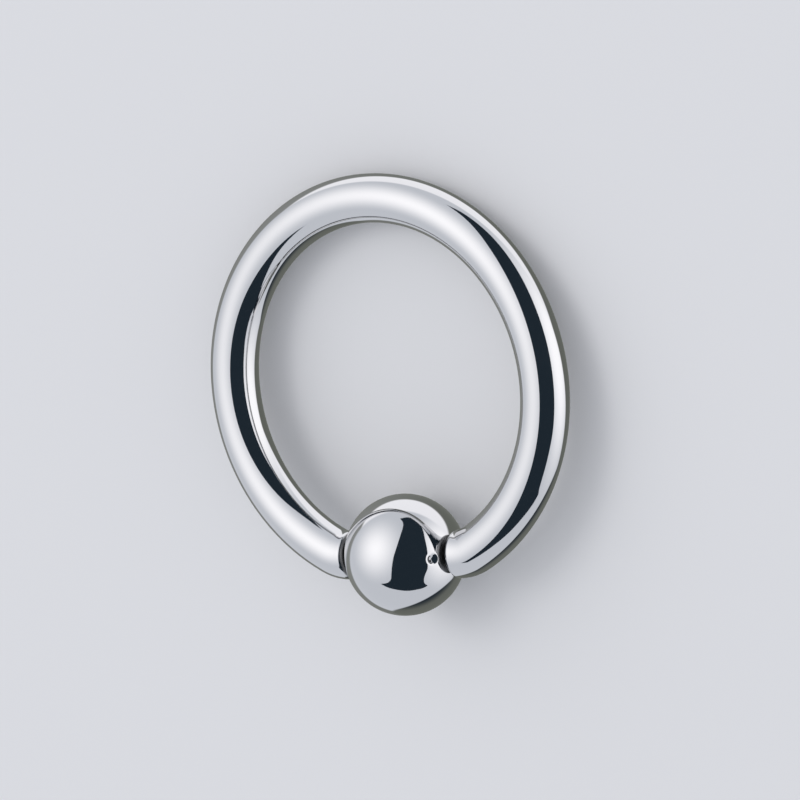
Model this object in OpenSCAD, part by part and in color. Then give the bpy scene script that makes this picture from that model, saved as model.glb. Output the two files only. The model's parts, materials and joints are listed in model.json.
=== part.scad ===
// Captive bead ring: an open hoop of round wire, and a ball held between its two ends.
// It lies on its side as it would by itself: the ball and the far side of the hoop touch z = 0,
// the ball is toward -Y and the line through the two wire ends runs along X.

/* [Hoop] */
// Diameter of the round wire
wire_d = 1.2; // [0.8:0.1:1.6]
// Inner diameter of the hoop
inner_d = 8; // [8:0.5:12]
// How far before the ends, in degrees of the hoop, its even curve gives way to a tighter one
tight_lead = 6; // [6:0.5:9]
// Rounding of the edge round each end face of the wire
end_round = 0.12; // [0.05:0.01:0.15]

/* [Ball] */
// Diameter of the ball
ball_d = 3; // [2.5:0.1:3.5]
// Gap between each end face of the wire and the ball
end_gap = 0.03; // [0.02:0.01:0.1]
// Diameter of each of the two opposed dimples in the ball
dimple_d = 0.32; // [0.2:0.02:0.5]
// Turn of the ball that carries its dimples away from the wire ends, in degrees
dimple_turn = 29; // [25:0.5:65]

/* [Hidden] */

wire_r = wire_d / 2;
ball_r = ball_d / 2;
// Radius of the wire's centre line where the hoop is evenly curved
hoop_r = inner_d / 2 + wire_r;

// Each end runs straight along X for end_round, and its face lies ball_r + end_gap from the ball's
// centre. The tighter bend before it starts tight_from degrees of the hoop from the gap's middle.
straight_x = ball_r + end_gap + end_round;
tight_from = round(asin(straight_x / hoop_r) + tight_lead);
// The bend is tangent to the even curve, so its centre lies on the radius where it starts, and
// tangent to the straight end, so its centre is straight_x from the middle.
tight_centre = straight_x / sin(tight_from);
tight_r = hoop_r - tight_centre;
tight_y = tight_centre * cos(tight_from);

// Distance from the hoop's centre to the line through the centres of the two end faces
ball_out = tight_y + tight_r;

// The stretches of wire are one solid, because a core of the next one starts this far inside each
core_r = wire_r - end_round;
core_root = wire_r / 3;

// The ball is thicker than the wire, so the hoop leans until both touch the surface
lean = asin((ball_r - wire_r) / (hoop_r + ball_out));
hoop_z = hoop_r * sin(lean) + wire_r;
// Shift along Y that puts the middle of the part's outline over the origin
far_reach = hoop_r * cos(lean) + wire_r;
near_reach = ball_out * cos(lean) + ball_r;
hoop_y = (near_reach - far_reach) / 2;

// A dimple is the print of a common drill's point, a cone point_angle degrees wide
point_angle = 118;
dimple_r = dimple_d / 2;
cone_slope = 1 / tan(point_angle / 2);
dimple_bottom = sqrt(ball_r * ball_r - dimple_r * dimple_r) - dimple_r * cone_slope;

$fn = 96;

// Places a hoop that lies level at the origin, with its gap toward -Y, in its resting pose
module resting() {
    translate([0, hoop_y, hoop_z]) rotate([-lean, 0, 0]) children();
}

// Wire of radius r, bent to the radius bend_r round the origin between two angles
module bent_wire(bend_r, r, first, last) {
    rotate_extrude(start = first, angle = last - first) translate([bend_r, 0]) circle(r = r);
}

// The tighter bend of the end on the +X side, and its core inside the even curve
module tight_bend() {
    root_angle = core_root / tight_r * 180 / PI;
    translate([straight_x, -tight_y, 0]) {
        bent_wire(tight_r, wire_r, -90, tight_from - 90);
        bent_wire(tight_r, core_r, -90, tight_from - 90 + root_angle);
    }
}

// The wire's last stretch, from the plane z = 0 up: straight, with a rounded edge
module wire_end() {
    rotate_extrude() {
        translate([0, -core_root]) square([core_r, core_root + end_round]);
        translate([core_r, 0]) intersection() {
            circle(r = end_round);
            square(end_round);
        }
    }
}

module ring() {
    color("silver") resting() {
        bent_wire(hoop_r, wire_r, tight_from - 90, 270 - tight_from);
        for (side = [0, 1])
            mirror([side, 0, 0]) {
                tight_bend();
                translate([straight_x, -ball_out, 0]) rotate([0, -90, 0]) wire_end();
            }
    }
}

// The drill point that makes a dimple in the ball's top, with the ball's centre at the origin
module drill_point() {
    above = dimple_bottom + dimple_d * cone_slope;
    rotate_extrude() polygon([[0, dimple_bottom], [dimple_d, above], [0, above]]);
}

module bead() {
    color("gainsboro") resting()
        translate([0, -ball_out, 0]) rotate([0, -dimple_turn, 0])
            difference() {
                sphere(r = ball_r);
                for (side = [-1, 1]) rotate([0, side * 90, 0]) drill_point();
            }
}

ring();
bead();
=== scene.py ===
"""Captive bead ring: a polished hoop of round wire that holds a ball between its two ends."""

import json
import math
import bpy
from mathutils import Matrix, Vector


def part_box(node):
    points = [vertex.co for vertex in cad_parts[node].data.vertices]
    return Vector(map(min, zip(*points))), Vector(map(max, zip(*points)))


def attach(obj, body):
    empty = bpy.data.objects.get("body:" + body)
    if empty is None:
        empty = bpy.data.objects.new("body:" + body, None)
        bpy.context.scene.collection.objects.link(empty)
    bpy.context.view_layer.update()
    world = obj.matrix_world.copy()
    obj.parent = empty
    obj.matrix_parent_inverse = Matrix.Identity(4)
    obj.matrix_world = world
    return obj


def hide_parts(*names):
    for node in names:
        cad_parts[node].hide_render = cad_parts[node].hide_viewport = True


bl_info = {
    "name": "Captive Bead Ring",
    "version": (1, 0, 0),
    "blender": (4, 5, 0),
    "location": "3D View > Sidebar > Captive Ring",
    "description": "Builds the hoop, the ball and the studio of a captive bead ring",
    "category": "Add Mesh",
}

import bmesh
import bpy
from bpy.props import FloatProperty, FloatVectorProperty, IntProperty, PointerProperty
from mathutils import Matrix, Vector
from mathutils.geometry import interpolate_bezier

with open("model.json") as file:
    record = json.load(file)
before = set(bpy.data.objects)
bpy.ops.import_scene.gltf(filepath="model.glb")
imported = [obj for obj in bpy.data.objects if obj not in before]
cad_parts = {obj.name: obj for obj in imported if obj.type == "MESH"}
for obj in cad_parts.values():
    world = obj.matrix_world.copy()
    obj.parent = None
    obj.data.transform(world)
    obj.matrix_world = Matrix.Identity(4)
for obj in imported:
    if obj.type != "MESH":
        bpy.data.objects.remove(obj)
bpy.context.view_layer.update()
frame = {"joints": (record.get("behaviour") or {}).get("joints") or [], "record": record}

# Places and sizes that the frame gives, in metres
FAR_WIRE = Vector(frame["record"]["mounts"][0]["pos_m"])
WIRE_RADIUS = frame["record"]["mounts"][0]["dims"]["r_mm"] / 1000
BALL_CENTRE = Vector(frame["joints"][0]["pos_m"])
RING_LOW, RING_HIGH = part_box("ring")
BALL_LOW, BALL_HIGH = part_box("bead")
HOOP_RADIUS = (RING_HIGH.x - RING_LOW.x) / 2 - WIRE_RADIUS
BALL_RADIUS = (BALL_HIGH.z - BALL_LOW.z) / 2

# The hoop's plane leans from the ball down to the far side of the wire
DOWN_THE_HOOP = (FAR_WIRE - BALL_CENTRE).normalized()
LEAN = math.asin(-DOWN_THE_HOOP.z)
HOOP_CENTRE = FAR_WIRE - DOWN_THE_HOOP * HOOP_RADIUS

# Points nearer than this are one point where two stretches of the wire meet
SEAM = 0.000001

# Rows of points along each short stretch at a wire end
TIGHT_ROWS = 33
EDGE_ROWS = 13
FACE_ROWS = 7

# Rows of points up a dimple's cone, as parts of the way to its rim
CONE_PARTS = (0.0, 0.06, 0.94)
# Steps along the rounded rim of a dimple, and from there along the ball's surface to its equator
RIM_STEPS = 16
SURFACE_STEPS = 64

# Size of the marks that handling leaves on each piece, and their fineness
HOOP_MARKS = 0.0016
BALL_MARKS = 0.0012
MARK_DETAIL = 3.0
# The polish is clean where the pattern of marks is below the first and worn above the second
CLEAN_BELOW = 0.5
WORN_ABOVE = 0.75

# The floor is a disc that reaches the horizon
FLOOR_RADIUS = 4.0
FLOOR_SIDES = 64
FLOOR_ROUGHNESS = 0.9
FLOOR_SPECULAR = 0.1

# Nothing closer to the camera than this is drawn
CLIP_START = 0.01

# Parts of the surround: where the middle is, in degrees right and up round from the camera's
# direction as it is seen from the ring, and the angles round it where the soft edge starts and ends
LEFT_GLOW = (-58, 12, 0, 62)
RIGHT_GLOW = (75, 11, 8, 66)
FRONT_PART = (-10, -23, 112, 118)
FAR_PART = (-3, 45, 82, 88)
SHADE_PART = (100, -20, 50, 140)
DARK_PART = (67, -115, 28, 31)
DARK_PART_FADE = (80, -138, 30, 56)

# The light that makes the shadow: its direction in the same degrees, its distance and its size
LIGHT_DIRECTION = (-52, 12)
LIGHT_DISTANCE = 0.3
LIGHT_SIZE = 0.12

# Outline of the dark card in the same degrees
CARD_OUTLINE = (
    (4, 75), (-11, 72), (-5, 63), (-5, 52), (-10, 34), (-16, 14), (-22, -6), (-25, -26),
    (-26, -40), (-27, -48), (-33, -55), (-47, -59), (-34, -65), (-16, -69), (4, -71), (22, -69),
    (36, -66), (43, -62), (37, -57), (35, -50), (37, -40), (42, -27), (42, 4), (38, 30),
    (35, 48), (29, 62), (19, 71),
)
# The points of the outline that stay sharp, and the steps of the smooth curve between two points
CARD_TIPS = ((-11, 72), (-47, -59), (43, -62))
CARD_STEPS = 4
# Distance of the card from the ring
CARD_DISTANCE = 0.1
# Cuts across each triangle of the flat outline, so that the card can be curved
CARD_CUTS = 7


class HoopSettings(bpy.types.PropertyGroup):
    """Sizes of the open wire hoop"""

    hoop_radius: FloatProperty(
        name="Hoop Radius",
        description="Radius of the circle that the middle of the wire follows",
        default=HOOP_RADIUS,
        unit="LENGTH",
    )
    wire_radius: FloatProperty(
        name="Wire Radius",
        description="Radius of the round wire",
        default=WIRE_RADIUS,
        unit="LENGTH",
    )
    tight_from: FloatProperty(
        name="Tight From",
        description="Angle from the middle of the gap at which the tighter bend of each end starts",
        default=math.radians(27),
        subtype="ANGLE",
    )
    end_gap: FloatProperty(
        name="End Gap",
        description="Gap between each end face of the wire and the ball",
        default=0.00003,
        unit="LENGTH",
    )
    end_round: FloatProperty(
        name="End Rounding",
        description="Rounding of the edge round each cut end, and length of the straight end",
        default=0.00012,
        unit="LENGTH",
    )
    stations: IntProperty(
        name="Stations",
        description="Cross-sections along the even curve of the wire",
        default=480,
        min=16,
    )
    sides: IntProperty(
        name="Sides",
        description="Faces round the wire",
        default=96,
        min=8,
    )


class BallSettings(bpy.types.PropertyGroup):
    """Sizes of the captive ball and its two dimples"""

    radius: FloatProperty(
        name="Ball Radius",
        description="Radius of the ball",
        default=BALL_RADIUS,
        unit="LENGTH",
    )
    dimple_radius: FloatProperty(
        name="Dimple Radius",
        description="Radius of each dimple where its cone would meet the ball's surface unrounded",
        default=0.00013,
        unit="LENGTH",
    )
    point_angle: FloatProperty(
        name="Point Angle",
        description="Angle of the cone that each dimple is",
        default=math.radians(118),
        subtype="ANGLE",
    )
    rim_round: FloatProperty(
        name="Rim Rounding",
        description="Rounding of the edge between a dimple and the ball's surface",
        default=0.00015,
        unit="LENGTH",
    )
    dimple_turn: FloatProperty(
        name="Dimple Turn",
        description="Angle between the dimples and the line through the wire ends",
        default=math.radians(29),
        subtype="ANGLE",
    )
    sides: IntProperty(
        name="Sides",
        description="Faces round the ball's dimple axis",
        default=160,
        min=12,
    )


class SteelSettings(bpy.types.PropertyGroup):
    """Finish of the polished steel"""

    colour: FloatVectorProperty(
        name="Steel Colour",
        description="Colour of reflections in the polished steel",
        subtype="COLOR",
        size=3,
        min=0,
        max=1,
        default=(0.64, 0.64, 0.65),
    )
    roughness: FloatProperty(
        name="Roughness",
        description="Roughness of the clean polish",
        subtype="FACTOR",
        min=0,
        max=1,
        default=0.035,
    )
    worn_roughness: FloatProperty(
        name="Worn Roughness",
        description="Roughness where handling has dulled the polish a little",
        subtype="FACTOR",
        min=0,
        max=1,
        default=0.075,
    )
    # Painted shade: the cut end faces are darkened to stand for the shade in the narrow gap between
    # each wire end and the ball
    cut_face_shade: FloatVectorProperty(
        name="Cut Face Shade",
        description="Colour of the wire's cut end faces, which are left as they were cut",
        subtype="COLOR",
        size=3,
        min=0,
        max=1,
        default=(0.2, 0.2, 0.2),
    )
    cut_roughness: FloatProperty(
        name="Cut Face Roughness",
        description="Roughness of the cut faces over that of the polish",
        subtype="FACTOR",
        min=0,
        max=1,
        default=0.35,
    )


class StudioSettings(bpy.types.PropertyGroup):
    """Light, floor and camera"""

    floor_colour: FloatVectorProperty(
        name="Floor Colour",
        description="Colour of the plain floor",
        subtype="COLOR",
        size=3,
        min=0,
        max=1,
        default=(0.64, 0.64, 0.65),
    )
    surround_colour: FloatVectorProperty(
        name="Surround Colour",
        description="Colour of the even light from all round",
        subtype="COLOR",
        size=3,
        min=0,
        default=(0.77, 0.80, 0.86),
    )
    back_colour: FloatVectorProperty(
        name="Back Colour",
        description="Colour of the dim part of the surround behind the ring on the left",
        subtype="COLOR",
        size=3,
        min=0,
        default=(0.33, 0.34, 0.33),
    )
    shade_colour: FloatVectorProperty(
        name="Shade Colour",
        description="Colour of the dimmer part of the surround behind the ring on the right",
        subtype="COLOR",
        size=3,
        min=0,
        default=(0.17, 0.18, 0.16),
    )
    glow_colour: FloatVectorProperty(
        name="Glow Colour",
        description="Colour of the two bright parts of the surround",
        subtype="COLOR",
        size=3,
        min=0,
        soft_max=2,
        default=(1.50, 1.49, 1.51),
    )
    far_colour: FloatVectorProperty(
        name="Far Light Colour",
        description="Colour of the light part of the surround over the far side of the ring",
        subtype="COLOR",
        size=3,
        min=0,
        soft_max=2,
        default=(1.24, 1.24, 1.28),
    )
    light_power: FloatProperty(
        name="Shadow Light",
        description="Power of the light that makes the soft shadow",
        default=0.135,
        unit="POWER",
    )
    card_colour: FloatVectorProperty(
        name="Card Colour",
        description="Colour of the dark card that the polish reflects",
        subtype="COLOR",
        size=3,
        min=0,
        max=1,
        default=(0.019, 0.030, 0.042),
    )
    camera_azimuth: FloatProperty(
        name="Camera Azimuth",
        description="Turn of the camera round the ring; 0 looks along +Y",
        default=math.radians(108.12),
        subtype="ANGLE",
    )
    camera_elevation: FloatProperty(
        name="Camera Elevation",
        description="Height of the camera above the floor as an angle",
        default=math.radians(52.88),
        subtype="ANGLE",
    )
    camera_roll: FloatProperty(
        name="Camera Roll",
        description="Turn of the camera about its line of sight, so that the ball is at the bottom",
        default=math.radians(114.0),
        subtype="ANGLE",
    )
    camera_distance: FloatProperty(
        name="Camera Distance",
        description="Distance from the camera to the point that it looks at",
        default=0.16286,
        unit="LENGTH",
    )
    camera_target: FloatVectorProperty(
        name="Camera Target",
        description="Point that the camera looks at",
        subtype="TRANSLATION",
        size=3,
        default=(0.00024, -0.000154, 0.000993),
    )
    lens: FloatProperty(
        name="Lens",
        description="Focal length of the camera in millimetres",
        default=300,
        unit="CAMERA",
    )


def settings(context):
    """The ring's settings, kept on the scene."""
    return context.scene.captive_ring


def placed(name, data):
    """A new object in the scene with the given data."""
    thing = bpy.data.objects.new(name, data)
    bpy.context.scene.collection.objects.link(thing)
    return thing


def add_node(tree, kind, **values):
    """Adds a node and sets its named inputs, or links them where a value is another node's socket."""
    node = tree.nodes.new(kind)
    for name, value in values.items():
        socket = node.inputs[name.replace("_", " ")]
        if isinstance(value, bpy.types.NodeSocket):
            tree.links.new(value, socket)
        else:
            socket.default_value = value
    return node


def calculate(tree, operation, *values):
    """A Math node's result for the given numbers or sockets."""
    node = tree.nodes.new("ShaderNodeMath")
    node.operation = operation
    for socket, value in zip(node.inputs, values):
        if isinstance(value, bpy.types.NodeSocket):
            tree.links.new(value, socket)
        else:
            socket.default_value = value
    return node.outputs[0]


def mixed(tree, amount, first, second):
    """A colour that goes from the first to the second, each a colour or a socket."""
    mix = tree.nodes.new("ShaderNodeMix")
    mix.data_type = "RGBA"
    tree.links.new(amount, mix.inputs[0])
    ends = [socket for socket in mix.inputs if socket.type == "RGBA"]
    for socket, colour in zip(ends, (first, second)):
        if isinstance(colour, bpy.types.NodeSocket):
            tree.links.new(colour, socket)
        else:
            socket.default_value = (*colour, 1.0)
    return [socket for socket in mix.outputs if socket.type == "RGBA"][0]


def negative(tree, value):
    """Minus the given socket."""
    return calculate(tree, "MULTIPLY", value, -1.0)


def stretch(tree, reach, first, last):
    """The part of the way from 0 to reach that lies between first and last."""
    return calculate(
        tree,
        "SUBTRACT",
        calculate(tree, "MINIMUM", calculate(tree, "MAXIMUM", reach, first), last),
        first,
    )


def position(tree, x=0.0, y=0.0, z=0.0):
    """A vector whose parts are numbers or sockets."""
    return add_node(tree, "ShaderNodeCombineXYZ", X=x, Y=y, Z=z).outputs[0]


def moved(tree, geometry, shift=(0, 0, 0), turn=(0, 0, 0)):
    """The geometry turned and then shifted."""
    return add_node(
        tree, "GeometryNodeTransform", Geometry=geometry, Translation=shift, Rotation=turn
    ).outputs["Geometry"]


def joined(tree, *parts):
    """One geometry of several."""
    node = tree.nodes.new("GeometryNodeJoinGeometry")
    for part in parts:
        tree.links.new(part, node.inputs[0])
    return node.outputs[0]


def strip(tree, first, last, rows, sides):
    """A flat grid from first to last along X, whose width along Y is one whole turn."""
    grid = add_node(
        tree,
        "GeometryNodeMeshGrid",
        Size_X=calculate(tree, "SUBTRACT", last, first),
        Size_Y=2 * math.pi,
        Vertices_X=rows,
        Vertices_Y=sides,
    )
    middle = calculate(tree, "MULTIPLY", calculate(tree, "ADD", first, last), 0.5)
    return moved(tree, grid.outputs["Mesh"], shift=position(tree, middle, math.pi))


def hoop_tree():
    """Geometry nodes of the hoop: flat strips that are wrapped round the wire's centre line.

    A strip's X is the way along the wire's outline from the far side of the hoop, less than 0 toward
    the end on the -X side, and its Y is the turn round the wire.
    """
    tree = bpy.data.node_groups.new("Open wire hoop", "GeometryNodeTree")
    sockets = (
        ("Hoop Radius", "NodeSocketFloat"),
        ("Wire Radius", "NodeSocketFloat"),
        ("Tight From", "NodeSocketFloat"),
        ("Straight X", "NodeSocketFloat"),
        ("End Rounding", "NodeSocketFloat"),
        ("Stations", "NodeSocketInt"),
        ("Sides", "NodeSocketInt"),
        ("Hoop Centre", "NodeSocketVector"),
        ("Lean", "NodeSocketFloat"),
        ("Steel", "NodeSocketMaterial"),
    )
    for name, kind in sockets:
        tree.interface.new_socket(name, in_out="INPUT", socket_type=kind)
    tree.interface.new_socket("Hoop", in_out="OUTPUT", socket_type="NodeSocketGeometry")
    given = tree.nodes.new("NodeGroupInput").outputs
    rounding = given["End Rounding"]

    def math_of(operation, *values):
        return calculate(tree, operation, *values)

    # The tighter bend is tangent to the even curve and ends along X
    even_turn = math_of("SUBTRACT", math.pi, given["Tight From"])
    centre_out = math_of("DIVIDE", given["Straight X"], math_of("SINE", given["Tight From"]))
    tight_radius = math_of("SUBTRACT", given["Hoop Radius"], centre_out)
    flat_radius = math_of("SUBTRACT", given["Wire Radius"], rounding)

    # Where each stretch of the outline ends: even curve, tighter bend, rounded edge, flat face
    even_end = math_of("MULTIPLY", given["Hoop Radius"], even_turn)
    tight_end = math_of("MULTIPLY_ADD", tight_radius, given["Tight From"], even_end)
    edge_end = math_of("MULTIPLY_ADD", rounding, math.pi / 2, tight_end)
    face_end = math_of("ADD", edge_end, flat_radius)
    strips = [strip(tree, negative(tree, even_end), even_end, given["Stations"], given["Sides"])]
    for first, last, rows in (
        (even_end, tight_end, TIGHT_ROWS),
        (tight_end, edge_end, EDGE_ROWS),
        (edge_end, face_end, FACE_ROWS),
    ):
        strips.append(strip(tree, first, last, rows, given["Sides"]))
        other = negative(tree, last), negative(tree, first)
        strips.append(strip(tree, *other, rows, given["Sides"]))

    # How far a point has come on each stretch
    place = tree.nodes.new("ShaderNodeSeparateXYZ")
    tree.links.new(tree.nodes.new("GeometryNodeInputPosition").outputs[0], place.inputs[0])
    along, turn = place.outputs["X"], place.outputs["Y"]
    reach = math_of("ABSOLUTE", along)
    out_turn = math_of("DIVIDE", math_of("MINIMUM", reach, even_end), given["Hoop Radius"])
    tight_way = stretch(tree, reach, even_end, tight_end)
    heading = math_of("ADD", out_turn, math_of("DIVIDE", tight_way, tight_radius))
    edge_turn = math_of("DIVIDE", stretch(tree, reach, tight_end, edge_end), rounding)
    face_way = stretch(tree, reach, edge_end, face_end)

    # The wire's own radius there, how far the end stands out, and the place on its centre line
    edge_radius = math_of("MULTIPLY_ADD", math_of("COSINE", edge_turn), rounding, flat_radius)
    radius = math_of("SUBTRACT", edge_radius, face_way)
    stand_out = math_of("MULTIPLY", math_of("SINE", edge_turn), rounding)
    bend_out = math_of("MULTIPLY_ADD", math_of("COSINE", turn), radius, tight_radius)
    across = math_of("MULTIPLY", math_of("SINE", out_turn), centre_out)
    across = math_of("MULTIPLY_ADD", math_of("SINE", heading), bend_out, across)
    across = math_of("MULTIPLY_ADD", math_of("COSINE", heading), stand_out, across)
    away = math_of("MULTIPLY", math_of("COSINE", out_turn), centre_out)
    away = math_of("MULTIPLY_ADD", math_of("COSINE", heading), bend_out, away)
    back = math_of("MULTIPLY", math_of("SINE", heading), stand_out)
    wrapped = position(
        tree,
        math_of("MULTIPLY", across, math_of("SIGN", along)),
        math_of("SUBTRACT", away, back),
        math_of("MULTIPLY", math_of("SINE", turn), radius),
    )
    wire = add_node(
        tree, "GeometryNodeSetPosition", Geometry=joined(tree, *strips), Position=wrapped
    ).outputs["Geometry"]
    whole = add_node(
        tree, "GeometryNodeMergeByDistance", Geometry=wire, Distance=SEAM
    ).outputs["Geometry"]
    lean = position(tree, negative(tree, given["Lean"]))
    resting = moved(tree, whole, shift=given["Hoop Centre"], turn=lean)
    smooth = add_node(tree, "GeometryNodeSetShadeSmooth", Geometry=resting).outputs["Geometry"]
    real = add_node(tree, "GeometryNodeRealizeInstances", Geometry=smooth).outputs["Geometry"]
    last = add_node(tree, "GeometryNodeSetMaterial", Geometry=real, Material=given["Steel"])
    out = tree.nodes.new("NodeGroupOutput")
    tree.links.new(last.outputs["Geometry"], out.inputs["Hoop"])
    return tree


def grown(name, tree, values):
    """The plain mesh object that a geometry-node tree makes from the named values."""
    seed = placed(name + "_seed", bpy.data.meshes.new(name + "_seed"))
    modifier = seed.modifiers.new(name, "NODES")
    modifier.node_group = tree
    for item in tree.interface.items_tree:
        if item.in_out == "INPUT":
            modifier[item.identifier] = values[item.name]
    depsgraph = bpy.context.evaluated_depsgraph_get()
    mesh = bpy.data.meshes.new_from_object(seed.evaluated_get(depsgraph), depsgraph=depsgraph)
    bpy.data.objects.remove(seed)
    mesh.name = name
    # Set Material leaves an empty first slot
    mesh.materials.pop(index=0)
    mesh.polygons.foreach_set("material_index", [0] * len(mesh.polygons))
    return placed(name, mesh)


def face_outward(mesh):
    """Turns every face of a closed mesh to point outward."""
    shape = bmesh.new()
    shape.from_mesh(mesh)
    bmesh.ops.recalc_face_normals(shape, faces=shape.faces)
    shape.to_mesh(mesh)
    shape.free()


def polished_steel(name, look, mark_size):
    """Polished steel whose gloss varies a little from handling."""
    material = bpy.data.materials.new(name)
    material.use_nodes = True
    tree = material.node_tree
    shader = tree.nodes["Principled BSDF"]
    shader.inputs["Metallic"].default_value = 1.0
    shader.inputs["Base Color"].default_value = (*look.colour, 1.0)
    place = tree.nodes.new("ShaderNodeTexCoord").outputs["Object"]
    handling = add_node(
        tree, "ShaderNodeTexNoise", Vector=place, Scale=1.0 / mark_size, Detail=MARK_DETAIL
    ).outputs["Fac"]
    worn = tree.nodes.new("ShaderNodeMapRange")
    tree.links.new(handling, worn.inputs["Value"])
    worn.inputs["From Min"].default_value = CLEAN_BELOW
    worn.inputs["From Max"].default_value = WORN_ABOVE
    worn.inputs["To Min"].default_value = look.roughness
    worn.inputs["To Max"].default_value = look.worn_roughness
    tree.links.new(worn.outputs["Result"], shader.inputs["Roughness"])
    return material


def dulled_and_shaded(material, look, amount):
    """Makes polished steel duller, and darker with painted shade, by an amount from 0 to 1."""
    tree = material.node_tree
    shader = tree.nodes["Principled BSDF"]
    polish = shader.inputs["Roughness"].links[0].from_socket
    dull = calculate(tree, "MULTIPLY_ADD", amount, look.cut_roughness, polish)
    tree.links.new(dull, shader.inputs["Roughness"])
    # The darker colour is painted shade for the narrow gap between the end faces and the ball
    colour = mixed(tree, amount, look.colour, look.cut_face_shade)
    tree.links.new(colour, shader.inputs["Base Color"])


def on_cut_faces(tree, face_x, rounding):
    """1 on the wire's flat end faces, which get painted shade, and 0 on the rest of the hoop."""
    place = tree.nodes.new("ShaderNodeSeparateXYZ")
    tree.links.new(tree.nodes.new("ShaderNodeTexCoord").outputs["Object"], place.inputs[0])
    near_ball = calculate(tree, "LESS_THAN", place.outputs["Y"], 0.0)
    from_middle = calculate(tree, "ABSOLUTE", place.outputs["X"])
    # It fades out on the rounded edge, from a quarter to half of the way along it
    at_face = tree.nodes.new("ShaderNodeMapRange")
    tree.links.new(from_middle, at_face.inputs["Value"])
    at_face.inputs["From Min"].default_value = face_x + rounding / 2
    at_face.inputs["From Max"].default_value = face_x + rounding / 4
    return calculate(tree, "MULTIPLY", at_face.outputs["Result"], near_ball)


def dimple_outline(ball):
    """Half outline of the ball, from the middle of a dimple to the equator, as (along, out) pairs.

    The dimple is the print of a drill's point: a cone, and a small round up to the ball's surface.
    """
    half_angle = ball.point_angle / 2
    up_the_cone = Vector((math.cos(half_angle), math.sin(half_angle)))
    into_the_ball = Vector((-math.sin(half_angle), math.cos(half_angle)))
    rim_along = math.sqrt(ball.radius**2 - ball.dimple_radius**2)
    bottom = Vector((rim_along - ball.dimple_radius / math.tan(half_angle), 0.0))

    # The round's centre lies inside the ball's surface, and outside the cone, by the round's radius
    start = bottom + into_the_ball * ball.rim_round
    lead = start.dot(up_the_cone)
    reach = math.sqrt(lead**2 - start.length_squared + (ball.radius - ball.rim_round) ** 2) - lead
    centre = start + up_the_cone * reach
    on_ball = math.atan2(centre.y, centre.x)

    cone = [tuple(bottom + up_the_cone * reach * part) for part in CONE_PARTS]
    rim = arc(centre, ball.rim_round, half_angle - math.pi / 2, on_ball, RIM_STEPS)
    surface = arc((0.0, 0.0), ball.radius, on_ball, math.pi / 2, SURFACE_STEPS)
    return cone + rim[:-1] + surface


def arc(centre, radius, start, end, steps):
    """Points (along, out) on an arc from the start angle to the end angle."""
    angles = [start + (end - start) * step / steps for step in range(steps + 1)]
    return [
        (centre[0] + radius * math.cos(angle), centre[1] + radius * math.sin(angle))
        for angle in angles
    ]


def turned(name, outline, sides):
    """A closed mesh turned about X from an outline of (along, out) pairs whose ends are on the axis."""
    shape = bmesh.new()
    first = shape.verts.new((outline[0][0], 0.0, 0.0))
    last = shape.verts.new((outline[-1][0], 0.0, 0.0))
    turns = [2 * math.pi * side / sides for side in range(sides)]
    loops = [
        [shape.verts.new((along, out * math.cos(turn), out * math.sin(turn))) for turn in turns]
        for along, out in outline[1:-1]
    ]
    for side in range(sides):
        after = (side + 1) % sides
        shape.faces.new((first, loops[0][side], loops[0][after]))
        shape.faces.new((last, loops[-1][after], loops[-1][side]))
        for near, far in zip(loops, loops[1:]):
            shape.faces.new((near[side], far[side], far[after], near[after]))
    for face in shape.faces:
        face.smooth = True
    bmesh.ops.recalc_face_normals(shape, faces=shape.faces)
    mesh = bpy.data.meshes.new(name)
    shape.to_mesh(mesh)
    shape.free()
    return placed(name, mesh)


class MakeHoop(bpy.types.Operator):
    """Make the open wire hoop in place of its plain solid"""

    bl_idname = "captive_ring.make_hoop"
    bl_label = "Make Hoop"

    def execute(self, context):
        hoop = settings(context).hoop
        look = settings(context).steel
        steel = polished_steel("Wire steel", look, HOOP_MARKS)
        face_x = BALL_RADIUS + hoop.end_gap
        # The cut end faces get a duller polish and are darkened with painted shade
        dulled_and_shaded(steel, look, on_cut_faces(steel.node_tree, face_x, hoop.end_round))
        values = {
            "Hoop Radius": hoop.hoop_radius,
            "Wire Radius": hoop.wire_radius,
            "Tight From": hoop.tight_from,
            "Straight X": face_x + hoop.end_round,
            "End Rounding": hoop.end_round,
            "Stations": hoop.stations,
            "Sides": hoop.sides,
            "Hoop Centre": HOOP_CENTRE,
            "Lean": LEAN,
            "Steel": steel,
        }
        wire = grown("wire_hoop", hoop_tree(), values)
        face_outward(wire.data)
        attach(wire, "ring")
        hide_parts("ring")
        return {"FINISHED"}


class MakeBall(bpy.types.Operator):
    """Make the captive ball in place of its plain solid"""

    bl_idname = "captive_ring.make_ball"
    bl_label = "Make Ball"

    def execute(self, context):
        ball = settings(context).ball
        half = dimple_outline(ball)
        other_half = [(-along, out) for along, out in reversed(half[:-1])]
        piece = turned("captive_ball", half + other_half, ball.sides)
        turn = Matrix.Rotation(-ball.dimple_turn, 4, "Y")
        lean = Matrix.Rotation(-LEAN, 4, "X")
        piece.data.transform(Matrix.Translation(BALL_CENTRE) @ lean @ turn)
        steel = polished_steel("Ball steel", settings(context).steel, BALL_MARKS)
        piece.data.materials.append(steel)
        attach(piece, "bead")
        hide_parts("bead")
        return {"FINISHED"}


def outline_mesh(name, points, faces):
    """A new object in the scene with a mesh of the given points and faces."""
    mesh = bpy.data.meshes.new(name)
    mesh.from_pydata(points, [], faces)
    return placed(name, mesh)


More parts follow.
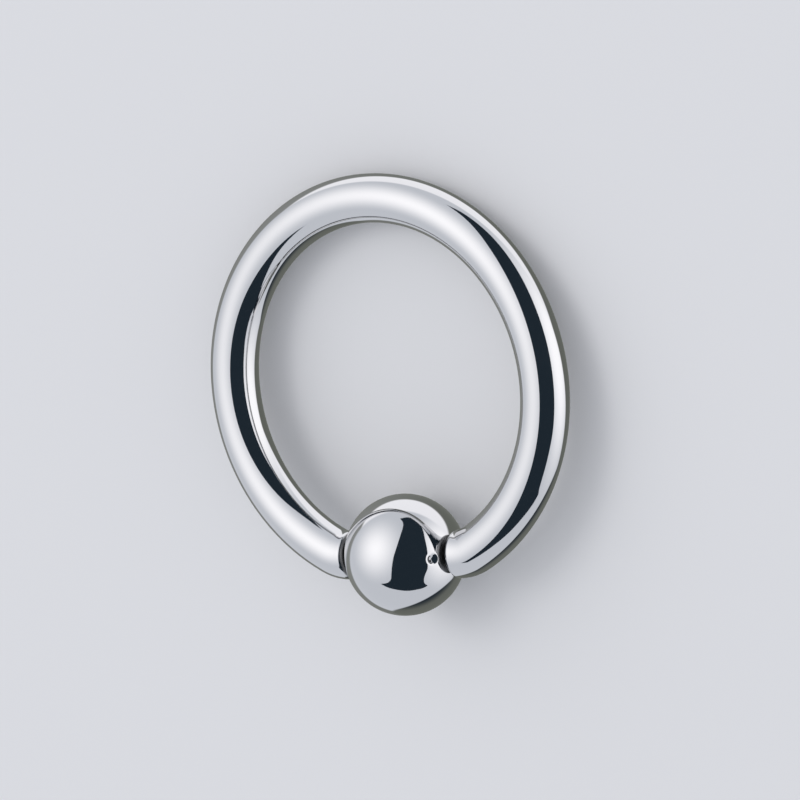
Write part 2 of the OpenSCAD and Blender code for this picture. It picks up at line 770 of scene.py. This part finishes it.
def make_camera(studio):
    """The camera, and its right, up and backward directions."""
    azimuth, elevation = studio.camera_azimuth, studio.camera_elevation
    level_part = Vector((math.sin(azimuth), -math.cos(azimuth), 0.0))
    back = level_part * math.cos(elevation) + Vector((0.0, 0.0, math.sin(elevation)))
    data = bpy.data.cameras.new("Ring camera")
    data.lens = studio.lens
    data.clip_start = CLIP_START
    data.clip_end = 4 * FLOOR_RADIUS
    camera = placed("Ring camera", data)
    level = back.to_track_quat("Z", "Y").to_matrix()
    pose = level @ Matrix.Rotation(-studio.camera_roll, 3, "Z")
    camera.matrix_world = (
        Matrix.Translation(Vector(studio.camera_target) + back * studio.camera_distance)
        @ pose.to_4x4()
    )
    bpy.context.scene.camera = camera
    return pose.col[0], pose.col[1], back


def make_floor(studio):
    """A plain matt floor."""
    turns = [2 * math.pi * step / FLOOR_SIDES for step in range(FLOOR_SIDES)]
    rim = [(FLOOR_RADIUS * math.cos(turn), FLOOR_RADIUS * math.sin(turn), 0.0) for turn in turns]
    floor = outline_mesh("Floor", rim, [range(FLOOR_SIDES)])
    matt = bpy.data.materials.new("Matt floor")
    matt.use_nodes = True
    shader = matt.node_tree.nodes["Principled BSDF"]
    shader.inputs["Base Color"].default_value = (*studio.floor_colour, 1.0)
    shader.inputs["Roughness"].default_value = FLOOR_ROUGHNESS
    shader.inputs["Specular IOR Level"].default_value = FLOOR_SPECULAR
    floor.data.materials.append(matt)
    # The polish reflects the surround below the floor too, as it does where nothing is under a ring
    floor.visible_glossy = False


def glow_toward(tree, direction, core, edge):
    """From 0 at the edge angle to 1 at the core angle round a direction of the surround."""
    way = tree.nodes.new("ShaderNodeTexCoord").outputs["Generated"]
    facing = tree.nodes.new("ShaderNodeVectorMath")
    facing.operation = "DOT_PRODUCT"
    tree.links.new(way, facing.inputs[0])
    facing.inputs[1].default_value = direction
    soft = tree.nodes.new("ShaderNodeMapRange")
    soft.interpolation_type = "SMOOTHSTEP"
    tree.links.new(calculate(tree, "ARCCOSINE", facing.outputs["Value"]), soft.inputs["Value"])
    soft.inputs["From Min"].default_value = math.radians(edge)
    soft.inputs["From Max"].default_value = math.radians(core)
    return soft.outputs["Result"]


def make_surround(studio, toward):
    """Soft light from all round: a front with two glows, a lighter far part and a dim back."""
    world = bpy.data.worlds.new("Surround")
    world.use_nodes = True
    tree = world.node_tree

    def part(right, up, core, edge):
        return glow_toward(tree, toward(right, up), core, edge)

    front = mixed(tree, part(*LEFT_GLOW), studio.surround_colour, studio.glow_colour)
    front = mixed(tree, part(*RIGHT_GLOW), front, studio.glow_colour)
    back = mixed(tree, part(*SHADE_PART), studio.back_colour, studio.shade_colour)
    colour = mixed(tree, part(*FAR_PART), back, studio.far_colour)
    colour = mixed(tree, part(*FRONT_PART), colour, front)
    dark = mixed(tree, part(*DARK_PART_FADE), studio.card_colour, studio.shade_colour)
    colour = mixed(tree, part(*DARK_PART), colour, dark)
    tree.links.new(colour, tree.nodes["Background"].inputs["Color"])
    bpy.context.scene.world = world


def smooth_outline(points, tips, steps):
    """Points on a closed curve through the given ones that turns sharply only at the tips."""
    knots = [Vector(point) for point in points]
    curve = []
    for first in range(len(knots)):
        last = (first + 1) % len(knots)
        way = knots[last] - knots[first]
        handles = []
        for at in (first, last):
            heading = (knots[(at + 1) % len(knots)] - knots[at - 1]).normalized() * way.length
            handles.append((way if points[at] in tips else heading) / 3)
        leaving, arriving = knots[first] + handles[0], knots[last] - handles[1]
        curve += interpolate_bezier(knots[first], leaving, arriving, knots[last], steps + 1)[:-1]
    return curve


def make_dark_card(studio, toward):
    """A dark curved card round the camera's place, seen only in reflections."""
    outline = smooth_outline(CARD_OUTLINE, CARD_TIPS, CARD_STEPS)
    card = outline_mesh("Dark_card", [(*point, 0.0) for point in outline], [range(len(outline))])
    shape = bmesh.new()
    shape.from_mesh(card.data)
    bmesh.ops.triangulate(shape, faces=shape.faces[:])
    bmesh.ops.subdivide_edges(shape, edges=shape.edges[:], cuts=CARD_CUTS, use_grid_fill=True)
    for vert in shape.verts:
        vert.co = toward(vert.co.x, vert.co.y) * CARD_DISTANCE
    shape.to_mesh(card.data)
    shape.free()
    dark = bpy.data.materials.new("Dark card")
    dark.use_nodes = True
    tree = dark.node_tree
    tree.nodes.clear()
    light = add_node(tree, "ShaderNodeEmission", Color=(*studio.card_colour, 1.0))
    out = tree.nodes.new("ShaderNodeOutputMaterial")
    tree.links.new(light.outputs["Emission"], out.inputs["Surface"])
    card.data.materials.append(dark)
    card.visible_camera = False
    card.visible_diffuse = False
    card.visible_shadow = False


def make_shadow_light(studio, toward):
    """A soft light on the left that isn't reflected, for the shadow on the floor."""
    data = bpy.data.lights.new("Shadow light", "AREA")
    data.size = LIGHT_SIZE
    data.energy = studio.light_power
    light = placed("Shadow light", data)
    direction = toward(*LIGHT_DIRECTION)
    aim = direction.to_track_quat("Z", "Y").to_matrix().to_4x4()
    light.matrix_world = Matrix.Translation(direction * LIGHT_DISTANCE) @ aim
    light.visible_camera = False
    light.visible_glossy = False


class MakeStudio(bpy.types.Operator):
    """Make the floor, the light and the camera"""

    bl_idname = "captive_ring.make_studio"
    bl_label = "Make Studio"

    def execute(self, context):
        studio = settings(context).studio
        context.scene.view_settings.view_transform = "Standard"
        picture_right, picture_up, back = make_camera(studio)

        def toward(right, up):
            """The direction that is right and up degrees round from the camera's direction."""
            turn = math.radians(math.hypot(right, up))
            side = (picture_right * right + picture_up * up).normalized()
            return back * math.cos(turn) + side * math.sin(turn)

        make_floor(studio)
        make_surround(studio, toward)
        make_dark_card(studio, toward)
        make_shadow_light(studio, toward)
        return {"FINISHED"}


class RingSettings(bpy.types.PropertyGroup):
    """All settings of the captive bead ring"""

    hoop: PointerProperty(type=HoopSettings)
    ball: PointerProperty(type=BallSettings)
    steel: PointerProperty(type=SteelSettings)
    studio: PointerProperty(type=StudioSettings)


class RingPanel(bpy.types.Panel):
    """The ring's pieces and their sizes"""

    bl_idname = "VIEW3D_PT_captive_ring"
    bl_label = "Captive Bead Ring"
    bl_space_type = "VIEW_3D"
    bl_region_type = "UI"
    bl_category = "Captive Ring"

    def draw(self, context):
        ring = settings(context)
        groups = (
            (MakeHoop, ring.hoop),
            (MakeBall, ring.ball),
            (None, ring.steel),
            (MakeStudio, ring.studio),
        )
        for operator, group in groups:
            column = self.layout.column(align=True)
            if operator:
                column.operator(operator.bl_idname)
            for name in group.__annotations__:
                column.prop(group, name)


CLASSES = (
    HoopSettings,
    BallSettings,
    SteelSettings,
    StudioSettings,
    RingSettings,
    MakeHoop,
    MakeBall,
    MakeStudio,
    RingPanel,
)


def register():
    for each in CLASSES:
        bpy.utils.register_class(each)
    bpy.types.Scene.captive_ring = PointerProperty(type=RingSettings)


def unregister():
    del bpy.types.Scene.captive_ring
    for each in reversed(CLASSES):
        bpy.utils.unregister_class(each)


def main():
    register()
    bpy.ops.captive_ring.make_hoop()
    bpy.ops.captive_ring.make_ball()
    bpy.ops.captive_ring.make_studio()


if __name__ == "__main__":
    main()
